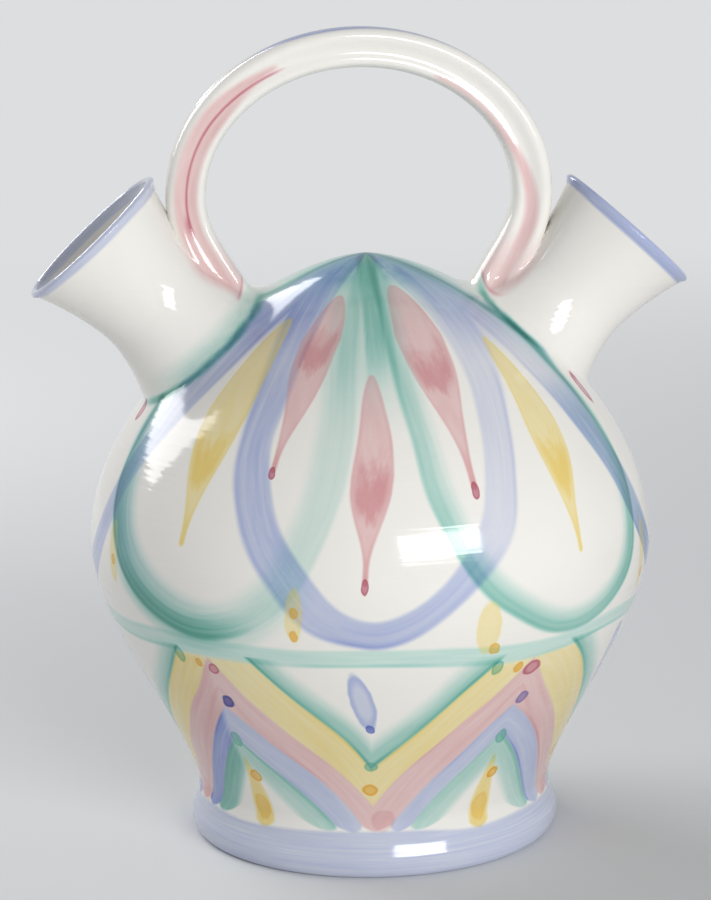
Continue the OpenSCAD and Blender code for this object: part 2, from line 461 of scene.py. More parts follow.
out = squared(angle.cos()) * size["Thickness"] * 0.5
side = squared(angle.sin()) * size["Depth"] * 0.5
flute = size["Flute"] * (out + size["Flute Shift"]).bell(size["Thickness"] * 0.25)
channel = size["Channel"] * side.bell(size["Depth"] * 0.25)
open_flute = ((height - size["Foot Height"]) / size["Flute End"]).rise(0.1, 1.0)
side_in = side * (1 - flute * open_flute * 2 / size["Depth"])
out_in = out - out.above(0.0) * channel * out * 2 / size["Thickness"]
below_arch = (size["Arch Height"] - height) / (size["Arch Height"] - size["Foot Height"])
swell = below_arch.most(0.0) ** 2.0
out_now = out_in * (1 + size["Foot Swell"] * swell) * closed
side_now = side_in * (1 + size["Foot Spread"] * swell) * closed
across = grid.triple(way_z * out_now, side_now, 0 - way_x * out_now)
placed = grid.node("ShaderNodeVectorMath", {0: spot, 1: across}, operation="ADD")
strap_tree = close_tree([grid.node("GeometryNodeSetPosition", {"Geometry": grid, "Position": placed})])
handle = grow("handle", strap_tree, {**strap_sizes, "Turns": 80, "Rows": 220}, line)

# %% [markdown]
# ## One pot from its parts
# A potter scores and joins the parts while the clay is soft, and the bores open into the body. Here
# boolean modifiers add the clay and then take out the hollow and the bores, in that order, so that
# nothing of a spout or a handle foot is left inside.

# %% Joining the clay and opening the bores
def worked(piece, steps):
    """Applies a row of boolean steps to the piece and removes the tools."""
    for operation, tool in steps:
        modifier = piece.modifiers.new(tool.name, "BOOLEAN")
        modifier.operation, modifier.solver, modifier.object = operation, "MANIFOLD", tool
    now = bpy.context.evaluated_depsgraph_get()
    mesh = bpy.data.meshes.new_from_object(piece.evaluated_get(now))
    piece.modifiers.clear()
    piece.data = mesh
    for operation, tool in steps:
        bpy.data.objects.remove(tool)


left, right = spouts["left"], spouts["right"]
worked(body, [
    ("UNION", left["clay"]), ("UNION", right["clay"]), ("UNION", handle),
    ("DIFFERENCE", hollow), ("DIFFERENCE", left["bore"]), ("DIFFERENCE", right["bore"])])
vase = body
vase.name = "painted_vase"
spots = np.zeros(len(vase.data.vertices) * 3)
vase.data.vertices.foreach_get("co", spots)
spots = spots.reshape(-1, 3) / MM
print("joined ware:", len(spots), "vertices,", len(vase.data.polygons), "faces")

# %% [markdown]
# ## Where a point lies on the pot
# Two things need to know how far a point is from the thrown body, from a spout and from the strap:
# the hand-smoothed joins, and the paint, which follows the pot's side and not the room. So three
# short functions measure those distances in millimetres, all from the same curves as the trees.

# %% Distance from the thrown side, and the way along it from the crown
def in_mm(sizes, *names):
    """Some of a piece's sizes in millimetres."""
    return [sizes[name] / MM for name in names]


stand, bulge, foot_top = in_mm(body_sizes, "Stand Radius", "Foot Bulge", "Foot Height")
lower_curve = on_bezier(lower_side, np.linspace(0, 1, 160)) / MM
upper_curve = on_bezier(upper_side, np.linspace(0, 1, 240)) / MM
swing = np.linspace(-math.pi / 2, math.pi / 2, 40)[:-1]
foot_curve = np.c_[stand + bulge * np.cos(swing), foot_top / 2 * (1 + np.sin(swing))]
outline = np.vstack([foot_curve, lower_curve[:-1], upper_curve])[::-1]


def ways_of(line):
    """The length of a broken line up to each of its points."""
    return np.r_[0, np.cumsum(np.linalg.norm(np.diff(line, axis=0), axis=1))]


outline_way = ways_of(outline)


def near_line(flat, line):
    """For points in a plane: distance to a broken line, its sign (left is positive), and the place on it."""
    stride = 9
    posts = line[::stride]
    steps = np.diff(line, axis=0)
    squares = (steps ** 2).sum(1)
    gap, place = np.empty(len(flat)), np.empty(len(flat))
    window = np.arange(-stride, stride)
    for low in range(0, len(flat), 8000):
        some = flat[low:low + 8000]
        post = ((some[:, None] - posts) ** 2).sum(2).argmin(1)
        near = np.clip(post[:, None] * stride + window, 0, len(steps) - 1)
        away = some[:, None] - line[near]
        t = np.clip((away * steps[near]).sum(2) / squares[near], 0, 1)
        off = away - t[..., None] * steps[near]
        far = (off ** 2).sum(2)
        rows = np.arange(len(some))
        best = far.argmin(1)
        pick = near[rows, best]
        turn = steps[pick, 0] * off[rows, best, 1] - steps[pick, 1] * off[rows, best, 0]
        gap[low:low + 8000] = np.sqrt(far[rows, best]) * np.where(turn >= 0, 1, -1)
        place[low:low + 8000] = pick + t[rows, best]
    return gap, place


def from_side(points):
    """Distance out of the thrown side, and the way down it from the crown's tip, in millimetres."""
    gap, place = near_line(np.c_[np.hypot(points[:, 0], points[:, 1]), points[:, 2]], outline)
    return gap, np.interp(place, np.arange(len(outline_way)), outline_way)


# %% Distance from a spout
neck, flare_run, spread_from, spread_out, spread_run, root_up = in_mm(
    trumpet_sizes, "Neck Radius", "Flare Length", "Spread Start", "Neck Spread", "Spread Run", "Root Height")


def from_spout(points, spout):
    """Distance out of a spout's wall, depth below its lip, and how far a point faces up and inwards."""
    lean, mouth = spout["lean"], spout["mouth"] / MM
    axis = np.array([math.sin(lean), 0, math.cos(lean)])
    inward = np.array([-np.sign(lean) * math.cos(lean), 0, abs(math.sin(lean))])
    away = points - (0, 0, root_up)
    rise = away @ axis
    radial = np.linalg.norm(away - rise[:, None] * axis, axis=1)
    depth = spout["reach"] / MM - rise

    def wall_at(d):
        flare = np.maximum(1 - d / flare_run, 0) ** trumpet_sizes["Flare Power"]
        spread = (np.maximum(d - spread_from, 0) / spread_run) ** 2
        return neck + (mouth - neck) * flare + spread_out * spread
    slope = wall_at(depth + 0.5) - wall_at(depth - 0.5)
    gap = (radial - wall_at(depth)) / np.sqrt(1 + slope ** 2)
    return gap, depth, (away @ inward) / np.maximum(radial, 1e-6)


# %% Distance from the strap
strap_line = []
for (a, _, b), (d, c, _) in zip(knots[:-1], knots[1:]):
    strap_line.append(on_bezier((a, b, c, d), np.linspace(0, 1, 60))[:-1])
strap_line = np.vstack(strap_line + [knots[-1][0][None]]) / MM + (arch_middle[0] / MM, 0)
strap_way = ways_of(strap_line)
thick, wide, fluted, flute_shift, flute_end, arch_up, foot_up = in_mm(
    strap_sizes, "Thickness", "Depth", "Flute", "Flute Shift", "Flute End", "Arch Height", "Foot Height")
corner = strap_sizes["Roundness"] / 2


def fade(value, low, high):
    """Smooth rise from 0 to 1 between low and high, or a fall if low is above high."""
    t = np.clip((value - low) / (high - low), 0, 1)
    return t * t * (3 - 2 * t)


def from_strap(points):
    """Distance out of the strap, the way along it from the right foot, and the place out across it."""
    gap, place = near_line(points[:, (0, 2)], strap_line)
    way = np.interp(place, np.arange(len(strap_way)), strap_way)
    height = np.interp(place, np.arange(len(strap_line)), strap_line[:, 1])
    swell = np.maximum((arch_up - height) / (arch_up - foot_up), 0) ** 2
    out = -gap / (1 + strap_sizes["Foot Swell"] * swell)
    side = points[:, 1] / (1 + strap_sizes["Foot Spread"] * swell)
    opened = fade(height, foot_up + flute_end * 0.1, foot_up + flute_end)
    flute = fluted * np.exp(-((out + flute_shift) / (thick / 4)) ** 2) * opened
    outward = np.abs(out / (thick / 2)) ** (1 / corner)
    sideways = np.abs(side / (1 - flute * 2 / wide) / (wide / 2)) ** (1 / corner)
    girth = (outward + sideways) ** corner
    return np.hypot(gap, points[:, 1]) * (1 - 1 / np.maximum(girth, 1e-3)), way, out


side_gap, side_way = from_side(spots)
print("side is", round(outline_way[-1], 1), "mm long, strap", round(strap_way[-1], 1), "mm")

# %% [markdown]
# ## Hand-smoothed joins
# Where two pieces of clay meet, the potter runs a wet finger round the join, so it is a soft hollow
# and not a line. Each point of the outer skin near a join moves out to the surface of a smooth
# union of the distances. The finger is wide over a spout, tight under it and round a handle foot.

# %% The smooth union of the distances
def blended(near, other, reach):
    """The lesser of two distances, rounded over where they differ by less than reach."""
    close = np.maximum(reach - np.abs(near - other), 0) / reach
    return np.minimum(near, other) - close ** 3 * reach / 6


def spout_reach(depth, facing):
    """How wide the finger is at a spout's root: widest on top of it, and gone near the lip."""
    return 0.1 + (3.4 + 6.5 * fade(facing, -0.8, 0.3)) * fade(depth, 72, 60)


def strap_reach(points):
    """How wide the finger is at a handle foot: narrow where a spout is close beside it."""
    return 0.1 + 1.4 * fade(points[:, 2], 222, 213) + 3.5 * fade(points[:, 2], 211, 202)


def skin(points):
    """Distance out of the whole pot with its smoothed joins, in millimetres."""
    whole = from_side(points)[0]
    for spout in spouts.values():
        own = np.flatnonzero(np.sign(points[:, 0]) == np.sign(spout["lean"]))
        if len(own):
            gap, depth, facing = from_spout(points[own], spout)
            whole[own] = blended(whole[own], gap, spout_reach(depth, facing))
    close = np.flatnonzero((np.abs(points[:, 1]) < wide) & (points[:, 2] > 188))
    if len(close):
        gap = from_strap(points[close])[0]
        whole[close] = blended(whole[close], gap, strap_reach(points[close]))
    return whole


# %% Moving the skin at the joins
def nearest_spout(points):
    """Distance out of the spout on a point's own side, 60 where none is near, and its finger's reach."""
    gap_here, reach_here = np.full(len(points), 60.0), np.zeros(len(points))
    for spout in spouts.values():
        gap, depth, facing = from_spout(points, spout)
        near = (depth > 2) & (depth < 74) & (np.sign(points[:, 0]) == np.sign(spout["lean"]))
        gap_here = np.where(near, np.minimum(gap, 60), gap_here)
        reach_here = np.where(near, spout_reach(depth, facing), reach_here)
    return gap_here, reach_here


strap_gap = from_strap(spots)[0]
spout_gap, reach = nearest_spout(spots)
skin_gap = np.minimum(np.minimum(side_gap, spout_gap), strap_gap)
outer = (np.abs(skin_gap) < 0.45) & (spots[:, 2] > 120)
at_spout = np.abs(side_gap - spout_gap) < reach + 0.3
at_strap = np.abs(strap_gap - np.minimum(side_gap, spout_gap)) < strap_reach(spots) + 0.3
joins = np.flatnonzero(outer & (at_spout | at_strap))
moved = spots[joins]
step = 0.15
for turn in range(4):
    value = skin(moved)
    slopes = np.stack([skin(moved + step * axis) - value for axis in np.eye(3)], 1) / step
    moved = moved - (value / np.maximum((slopes ** 2).sum(1), 0.4))[:, None] * slopes
spots[joins] = moved
vase.data.vertices.foreach_set("co", (spots * MM).ravel())
vase.data.update()
last_move = round(float(np.abs(value).max()), 4)
print(len(joins), "points at the joins moved; the last move was", last_move, "mm at most")

# %% Shading the skin smoothly
vase.data.shade_smooth()
vase.data.set_sharp_from_angle(angle=math.radians(50))
facing = np.zeros((len(spots), 3))
facing[joins] = slopes / np.linalg.norm(slopes, axis=1)[:, None]
vase.data.normals_split_custom_set_from_vertices(facing.tolist())
side_gap, side_way = from_side(spots)
strap_gap, along_strap, across_strap = from_strap(spots)


def keep(name, *columns):
    """Stores three values at each point for the paint to read."""
    held = vase.data.attributes.new(name, "FLOAT_VECTOR", "POINT")
    held.data.foreach_set("vector", np.stack(columns, 1).astype(np.float32).ravel())


keep("on_side", side_way, side_gap, nearest_spout(spots)[0])
keep("on_strap", along_strap, across_strap, strap_gap)
print("faces after smoothing:", len(vase.data.polygons))

# %% [markdown]
# ## Pigments in a clear glaze
# The colours are thin ceramic stains under a shiny, slightly warm white glaze, so where two strokes
# cross both show. Each pigment is written as the colour it gives over white, turned into how much
# light it takes away, and the layers are summed before the glaze's white is dimmed by the sum.

# %% The glaze and its pigments
def linear(colour):
    """A screen colour, 0 to 255, as the linear values that a shader uses."""
    c = np.array(colour) / 255
    return np.where(c <= 0.04045, c / 12.92, ((c + 0.055) / 1.055) ** 2.4)


white = linear((238, 235, 228))
over_white = {
    "lilac": (174, 183, 214), "blue": (120, 134, 190), "teal": (126, 184, 170), "sea": (172, 213, 202),
    "pink": (218, 174, 173), "rose": (180, 104, 118), "yellow": (233, 212, 142), "orange": (226, 172, 78),
    "violet": (142, 128, 178)}
pigment = {name: tuple(-np.log(linear(colour) / white)) for name, colour in over_white.items()}
print("pigments:", ", ".join(pigment))


def laid(total, density, name):
    """Adds a layer of pigment to the sum; density 1 is the pigment's written colour."""
    layer = {0: pigment[name], 1: density, 2: total}
    return density.node("ShaderNodeVectorMath", layer, operation="MULTIPLY_ADD")


def scaled(total, amount):
    """The sum of the pigments, all made thinner by the same amount."""
    return amount.node("ShaderNodeVectorMath", {0: total, "Scale": amount}, operation="SCALE")


def over(total, density, name, lifts=0.6):
    """A layer from a full brush, which lifts part of the wash that it crosses."""
    return laid(scaled(total, 1 - density.least(1.0) * lifts), density, name)


# %% Where the brush is: angle round the pot, way down its side, and a hand's wobble
def bench(name):
    """A new material with the wires that the paint needs, in degrees and millimetres.

    angle runs round the pot from the front and down is the way from the crown's tip. off is the
    distance out of the thrown side, root the distance from the crease round a spout, which is
    negative on the spout, and sway a slow wobble of the hand.
    """
    stuff = bpy.data.materials.new(name)
    stuff.use_nodes = True
    tree = stuff.node_tree
    here = Wire(tree).node("ShaderNodeTexCoord", out="Object")
    x, y, z = here.split()
    way, off, spout_gap = here.node("ShaderNodeAttribute", out="Vector", attribute_name="on_side").split()
    along, across, gap = here.node("ShaderNodeAttribute", out="Vector", attribute_name="on_strap").split()
    wobble = here.node("ShaderNodeTexNoise", {"Vector": here, "Scale": 16.0, "Detail": 1.0}, "Color")
    turn_sway, down_sway, sway = wobble.split()
    girth = (x * x + y * y).sqrt() / MM
    ragged = here.node("ShaderNodeTexNoise", {"Vector": here, "Scale": 210.0, "Detail": 1.0})
    return {
        "stuff": stuff, "tree": tree, "here": here, "x": x / MM, "y": y / MM, "z": z / MM,
        "girth": girth, "degree": girth * (math.pi / 180), "off": off, "root": spout_gap - off,
        "strap way": along, "strap out": across, "strap gap": gap,
        "angle": x.sum("ARCTAN2", x, -y) * (180 / math.pi) + (turn_sway - 0.5) * 7,
        "down": way + (down_sway - 0.5) * 9, "sway": sway, "ragged": ragged}


def noise(b, across, along, seed, detail=3.0):
    """Streaks: noise that changes fast across a stroke and slowly along it, 0 to 1."""
    spot = b["here"].triple(across, along, seed)
    return spot.node("ShaderNodeTexNoise", {
        "Vector": spot, "Scale": 1.0, "Detail": detail, "Roughness": 0.62})


# %% [markdown]
# ## Three kinds of stroke
# A loop hangs from the crown like a garland, a drop is pressed on and drawn out to a point, and a
# dab is one touch of a loaded brush. Each is a distance in millimetres on the pot, so a stroke keeps
# its width while the pot swells under it. Wet paint gathers at a stroke's rim and where it ends.

# %% Loops, drops and dabs
def loop(b, angle_off, half_angle, bottom, side_power, fall_power):
    """Distance in millimetres out of a hanging loop, negative inside it; higher powers are boxier."""
    u, v = abs(angle_off) / half_angle, b["down"].most(0.0) / bottom
    rule = u ** side_power + v ** fall_power - 1
    round_slope = u ** (side_power - 1) * side_power / (b["degree"] * half_angle + 0.5)
    down_slope = v ** (fall_power - 1) * (fall_power / bottom)
    return rule / (round_slope * round_slope + down_slope * down_slope + 1e-7).sqrt()


def drop(b, top, tip, half, widest, fall, blot):
    """A drawn-out drop from top to tip, both (angle, way down); gives its density."""
    t = (b["down"] - top[1]) / (tip[1] - top[1])
    across = (b["near"] - top[0] - t * (tip[0] - top[0])) * b["degree"]
    swell = (t / widest).most(0.0).least(1.0) ** 0.6 * (1 - 0.88 * t.rise(*fall)) * half
    out = abs(across) - swell
    body = out.rise(0.6, -0.5) * t.rise(0.0, 0.012) * (t + across * across * 0.006).rise(1.0, 0.985)
    rim = (out + 0.5).bell(0.625) * (0.1 + b["sway"] * 0.7)
    wet = noise(b, across * 0.25, b["down"] * 0.07, 12.0)
    pooled = b["down"] + across * across * 0.12 + (wet - 0.5) * 22
    dark = pooled.rise(blot[0], blot[0] + 16.0) * pooled.rise(blot[1] + 4.0, blot[1] - 3.0)
    dark = dark * out.rise(0.0, -3.0)
    return body * (0.42 + 0.5 * wet + 0.35 * rim + 0.4 * t.rise(0.8, 0.98) + 0.75 * dark)


def dab(b, angle, middle, half_round, half_down, rim=0.3):
    """One touch of the brush, an uneven oval with a wet rim; sizes in millimetres."""
    across = (b["near"] - angle) * b["degree"] / half_round
    along = (b["down"] - middle) / half_down
    far = (across * across + along * along).sqrt() + (b["ragged"] - 0.5) * (4 / (half_round + half_down))
    return far.rise(1.12, 0.88) * (0.7 + rim * far.rise(0.45, 0.95))


# %% [markdown]
# ## The crown's paint
# Round the crown hang four blue loops and, between them, four green ones. The green is wiped so
# that its outer edge stays dark and it fades inwards. Yellow drops hang in the green loops, and
# three pink drops at the front and the back. What the photograph doesn't show is a plain repeat.

# %% The ring and the blue loops
ring_middle, blue_bottom, green_bottom = 181.5, 171.5, 178.0


def ring_density(b):
    """The pale green ring at the waist, where the wheel was turned under a still brush."""
    across = b["down"] - ring_middle
    streak = noise(b, across * 0.45, b["angle"] * 0.035, 7.0)
    edge = (across - 2.9).bell(0.9) * b["sway"].rise(0.4, 0.65)
    return abs(across + (b["sway"] - 0.5) * 4).rise(4.6, 2.6) * (0.15 + 0.9 * streak + edge * 0.8)


def blue_loops(b):
    """Four blue loops, the first over the front's middle, and the wash between them at the crown."""
    near, down = b["near"], b["down"]
    quarter = b["angle"].sum("WRAP", b["angle"] + 0.9 + 4.2 * down.rise(60.0, 125.0), 45.0, -45.0)
    blue = loop(b, quarter, 32.0, blue_bottom, 1.82, 3.6)
    streak = noise(b, blue * 0.42, (near + down) * 0.022, 1.0, 4.0)
    flank = abs(near).rise(30.0, 46.0) * down.rise(135.0, 70.0)
    front = abs(near).rise(88.0, 70.0)
    rightward = near.rise(8.0, 20.0) * front
    half = 5.4 + 3.8 * flank + 1.2 * rightward * down.rise(160.0, 135.0)
    half = half + 1.8 * near.rise(-8.0, -20.0) * near.rise(-50.0, -44.0) * down.rise(98.0, 124.0)
    band = (abs(blue) - half).rise(1.0, -1.4)
    rim = (blue - half + 0.9).bell(0.9) * b["sway"].rise(0.38, 0.62)
    thin = 1 - 0.55 * rightward * down.rise(158.0, 138.0)
    dense = 0.25 + 1.15 * streak * (0.55 + b["sway"] * 0.9) + 0.5 * rim
    total = laid((0.0, 0.0, 0.0), band * thin * dense, "lilac")
    between = abs(quarter).rise(24.0, 36.0) * down.rise(76.0, 46.0) * down.rise(8.0, 22.0)
    total = laid(total, between * (0.2 + 0.7 * streak), "lilac")
    dark = band * front * near.rise(42.0, 56.0) * down.rise(80.0, 106.0) * (0.1 + 0.7 * streak)
    return laid(laid(total, dark * 0.6, "blue"), dark * 0.45, "teal")


# %% The green loops
def green_loops(b, total):
    """Four green loops, wiped so that they fade inwards; the one to the right hangs a little askew."""
    near, down = b["near"], b["down"]
    right_loop = near.above(-5.0)
    lower = down.most(0.0) / 170
    centre = -42.5 + right_loop * (72.5 + 5.0 * lower + 3.0 * lower ** 5.0)
    green = loop(b, near - centre, 33 - 2 * right_loop, green_bottom, 2.0, 4.8)
    wisp = noise(b, green * 0.33, (near - down) * 0.02, 2.0, 4.0)
    pale = near.rise(-44.0, -26.0) * (1 - right_loop)
    outer = abs(near).rise(50.0, 58.0) * down.rise(125.0, 100.0)
    leftmost = near.rise(-24.0, -50.0) * down.rise(84.0, 112.0)
    wiped = (green / (1 + 0.65 * leftmost)).rise(-14.0, -1.8) * green.rise(1.8, -0.2) * (1 - outer * 0.8)
    line = (green + 0.8).bell(1.5 + 0.8 * outer + leftmost)
    strong = wiped ** 1.3 * (0.25 + 0.95 * wisp) + line * (0.05 + 0.8 * wisp) * (0.45 + 1.5 * outer)
    low_part = 0.36 * (down.rise(112.0, 150.0) + outer).least(1.0)
    left_part = 0.55 * leftmost * down.rise(176.0, 146.0)
    strong = strong * (0.64 + low_part + left_part + 0.3 * near.rise(44.0, 54.0))
    weak = green.rise(-20.0, -9.0) * green.rise(1.6, -1.2) * down.rise(172.0, 160.0) * (0.13 + 0.2 * wisp)
    ground = green.rise(-12.0, -2.0) * green.rise(7.0, -1.0) * down.rise(150.0, 168.0) * (1 - right_loop)
    total = laid(total, strong * (1 - pale) + weak * pale + ground * (0.5 + 0.6 * leftmost) * wisp, "teal")
    total = laid(total, strong * leftmost * down.rise(178.0, 140.0) * 0.45, "lilac")
    middle = near.rise(-19.0, -14.0) * near.rise(6.0, 0.0) * down.rise(104.0, 62.0)
    stem_off = (near + 3.2) * b["degree"] + (wisp - 0.5) * 1.6
    stem = (abs(stem_off) - 3.4).rise(1.0, -1.0) * down.rise(84.0, 56.0)
    return laid(total, middle * (0.19 + 0.24 * wisp) + stem * (0.2 + 0.68 * wisp), "teal")


# %% The washes round the spouts' roots
def root_washes(b, total):
    """A dark green line in the crease round each spout, and a pale splash up the left one."""
    near, down = b["near"], b["down"]
    wisp = noise(b, down * 0.12, b["root"] * 0.3, 15.0, 4.0)
    right_side = near.above(0.0)
    line = (b["root"] - 0.6 + (b["sway"] - 0.5) * 2).bell(0.7 + wisp)
    line = line * (down + right_side * 27).rise(105.0, 94.0) * abs(near).rise(88.0, 78.0)
    splash = b["off"].rise(9.0, 0.5) * b["root"].rise(1.0, -1.0) * down.rise(94.0, 78.0)
    both = line * (0.2 + 2.2 * wisp) + splash * (1 - right_side) * (0.1 + 0.7 * wisp)
    total = laid(total, both * down.rise(40.0, 50.0), "teal")
    for angle, middle, half_down in ((-84.0, 101.5, 4.5), (70.0, 95.0, 7.0)):
        total = laid(total, dab(b, angle, middle, 2.8, half_down, 0.6) * 0.75, "rose")
    return total


# %% The whole crown, from the ring to the drops
def crown_paint(b):
    """The crown's layers in the order that they are painted; front and back are alike."""
    b["near"] = b["angle"].sum("WRAP", b["angle"], 90.0, -90.0)
    near, down = b["near"], b["down"]
    total = laid(green_loops(b, blue_loops(b)), ring_density(b), "sea")
    tip_wash = noise(b, down * 0.08, near * 0.05, 13.0)
    total = laid(total, down.rise(44.0, 10.0) * (0.35 + 1.2 * tip_wash), "sea")
    spill = abs(near + 2).rise(9.0, 16.0) * abs(near + 2).rise(48.0, 34.0) + down.rise(16.0, 5.0) * 0.3
    total = laid(total, spill * down.rise(36.0, 16.0) * (1.1 * tip_wash - 0.25), "blue")
    total = laid(total, down.rise(60.0, 30.0) * 0.14, "teal")

    for top, tip, half, widest, fall, blot in (
            ((13.5, 31.0), (15.5, 122.0), 8.8, 0.30, (0.42, 0.94), (62.0, 84.0)),
            ((-22.0, 37.0), (-28.0, 115.0), 7.3, 0.30, (0.42, 0.94), (52.0, 74.0)),
            ((-5.0, 75.0), (-7.0, 155.0), 7.4, 0.50, (0.56, 0.93), (106.0, 131.0))):
        total = over(total, drop(b, top, tip, half, widest, fall, blot), "pink")
        total = over(total, dab(b, tip[0], tip[1] - 0.5, 1.3, 2.6), "rose")
    for top, tip, half, blot in (
            ((-42.5, 50.0), (-47.0, 147.0), 8.5, 123.0), ((41.0, 61.0), (39.0, 150.0), 7.4, 129.0)):
        total = over(total, drop(b, top, tip, half, 0.45, (0.52, 0.97), (blot - 24, blot)), "yellow")
    for angle, middle, half_round, half_down, wet in (
            (-21.0, 165.5, 3.2, 9.5, ((-21.0, 164.5), (-21.0, 173.0))),
            (17.5, 171.0, 3.8, 9.5, ((19.0, 179.0),)),
            (-68.0, 153.0, 3.4, 11.0, ((-68.0, 156.0),)),
            (65.0, 160.0, 3.6, 14.0, ((66.0, 168.0),))):
        long_dab = dab(b, angle, middle, half_round, half_down, 0.1)
        total = over(total, long_dab * (0.5 + b["sway"] * 0.7), "yellow")
        for place in wet:
            wet_dab = dab(b, *place, 1.7, 2.1, 0.2)
            total = over(total, wet_dab * (0.6 + b["sway"] * 0.6), "orange")
    on_body = b["root"].rise(-1.4, 0.6) * (b["strap gap"] - b["off"]).rise(-1.2, 0.6)
    return strap_paint(b, root_washes(b, scaled(total, on_body)))


# %% [markdown]
# ## The skirt's paint
# Under the ring a zigzag of five points runs round the pot, a stack of strokes in green, yellow,
# pink, blue and green again. A zigzag is a slanting line that is mirrored about each valley, so the
# angle is folded once and every stroke is then a straight line on the unrolled skirt.

# %% The zigzags
def line_at(b, fold, valley, fall):
    """Distance in millimetres below a line that rises by fall millimetres per degree from its valley."""
    steep = fall / b["degree"]
    return (b["down"] - valley + fold * fall) / (steep * steep + 1).sqrt()


def zigzags(b, side, fold):
    """The stack of strokes; each lies between its line and the next one, so the strokes just meet."""
    skew = side * (1 - fold / 36) * 0.3
    lean = {**b, "down": b["down"] - skew}
    lines = (line_at(lean, fold, 235.0, 1.9), line_at(b, fold + 2.5 * fold.rise(28.0, 36.0), 253.0, 1.75),
             line_at(lean, fold, 269.5, 1.7), line_at(b, fold, 282.5, 1.66))
    total = laid((0.0, 0.0, 0.0), ring_density(b), "sea")
    rightward = side.rise(-4.0, 4.0)
    # Painted shade: from about 45 to 90 degrees left of the front, the strokes are laid denser, because that
    # side of the pot stands in shade.
    deep = 1 + 1.3 * b["angle"].rise(-43.0, -46.0) * b["angle"].rise(-100.0, -80.0)
    for above, below, name, seed, dense in (
            (lines[0], lines[1], "yellow", 3.0, 0.95), (lines[1], lines[2], "pink", 4.0, 0.95),
            (lines[2], lines[3], "lilac", 5.0, 1.0)):
        streak = noise(b, above * 0.4, fold * 0.05, seed, 4.0)
        across = (above + below) / (above - below).most(1.0)
        stop = (b["down"] + across * across * 2.2).rise(264.6, 263.2) * b["down"].rise(184.5, 187.0)
        edge = above if name == "yellow" else above * rightward - below * (1 - rightward)
        rim = (edge - 0.5).bell(0.6) * b["sway"].rise(0.4, 0.62)
        # The painted shade darkens the lilac fully, and the yellow and pink strokes less.
        shade_weight = deep if name == "lilac" else deep ** 0.35
        cover = above.rise(-0.6, 0.7) * below.rise(0.7, -0.6) * stop * shade_weight
        streaked = (0.62 + b["sway"] * 0.75) * (0.3 + 0.95 * streak + 0.5 * rim)
        total = laid(total, cover * dense * streaked, name)
        if name == "lilac":
            total = laid(total, cover * rim * 0.5, "blue")

    # The lower teal band also carries the painted shade on the left.
    for edge, wide, solid, top, dense, rimmed in (
            (-lines[0], 11.0, 1.5, 184.0, 1.0, 1.0),
            (lines[3], 11.0, 5.0, 221.0, 0.75 * deep, 1 - 0.8 * rightward)):
        wisp = noise(b, edge * 0.3, fold * 0.05, wide + solid, 4.0)
        rim = (edge - 0.7).bell(0.8) * rimmed
        wiped = edge.rise(wide, solid) * edge.rise(-0.5, 0.5)
        stop = (b["down"] + (edge - 3) ** 2.0 * 0.12).rise(264.2, 262.8) * b["down"].rise(top - 3, top + 1)
        streaked = wiped * (0.2 + 0.85 * wisp) + rim * (0.15 + 0.75 * wisp)
        total = laid(total, stop * dense * streaked, "teal")
    return total


# %% The whole skirt, with its dabs and the brushed foot
def skirt_paint(b):
    """The zigzags, then a leaf and a column of dabs at each valley and each peak, then the foot."""
    down = b["down"]
    side = b["angle"].sum("WRAP", b["angle"] + 7, 36.0, -36.0)
    fold = abs(side)
    total = zigzags(b, side, fold)

    across = (36 - fold) * b["degree"]
    t = (down - 232) / 30
    leaf = t.most(0.0).least(0.75) ** 0.9 * 5.6 * (0.7 + b["sway"] * 0.6)
    end = (down + across * across * 0.12).rise(265.0, 263.4)
    wet = noise(b, across * 0.3, down * 0.1, 6.0)
    inside = (across - leaf).rise(0.9, -0.9) * t.rise(0.0, 0.06)
    total = laid(total, inside * end * (0.5 + 0.9 * wet), "yellow")

    bigger = 0.6 + b["sway"]
    left_peak = b["angle"].rise(-30.0, -36.0) * b["angle"].rise(-56.0, -50.0)
    tilted = -1.9 + (down - 201.5) * 0.11
    valley_dabs = (
        (over, "teal", 0.9, 0.0, 233.5, 2.6, 2.4, 0.3),
        (over, "orange", 0.8, -0.6, 245.5, 3.1, 2.7, 0.6),
        (laid, "pink", 0.4, 3.0, 259.5, 4.6, 4.4, 0.1),
        (laid, "lilac", 0.8, tilted, 201.5, 4.3, 13.6, 0.7),
        (laid, "blue", 1.0, -0.4, 214.5, 1.6, 1.8, 0.3),
        (laid, "teal", 0.8, 27.8, 187.0, 2.1, 3.0, 0.3))
    peak_dabs = (
        (over, "rose", bigger * 0.6, 0.5, 190.5, 3.6 - 1.5 * left_peak, 3.2 - left_peak, 0.9),
        (over, "orange", 1.0, -3.2, 188.5, 1.7, 2.0, 0.3),
        (over, "violet", bigger, 1.6, 205.5, 2.3, 2.8, 0.3),
        (laid, "blue", left_peak, 1.6, 205.5, 2.6, 3.0, 0.3),
        (over, "teal", bigger * 0.9, 0.2, 224.3, 2.4, 3.5, 0.3),
        (over, "orange", 0.8, 1.4, 242.0, 2.3, 2.5, 0.8),
        (laid, "orange", bigger * 0.35, 0.0, 256.0, 3.4, 5.4, 0.1))
    around_peak = side.sum("WRAP", side + 36, 36.0, -36.0)
    for near, dabs in ((side, valley_dabs), (around_peak, peak_dabs)):
        b["near"] = near
        for layer, name, dense, angle, middle, half_round, half_down, rim in dabs:
            total = layer(total, dab(b, angle, middle, half_round, half_down, rim) * dense, name)

    low = down.rise(263.0, 265.0)
    brushed = noise(b, b["z"] * 1.3, b["angle"] * 0.025, 8.0, 5.0)
    return laid(total, low * (0.1 + 1.1 * brushed), "lilac")


# %% [markdown]
# ## Trims on the spouts and the handle
# The lips are edged in blue where the brush ran round them, the strap has pink down its flutes and
# a thin blue line along its back. These read the depth below a lip and the way along the strap.

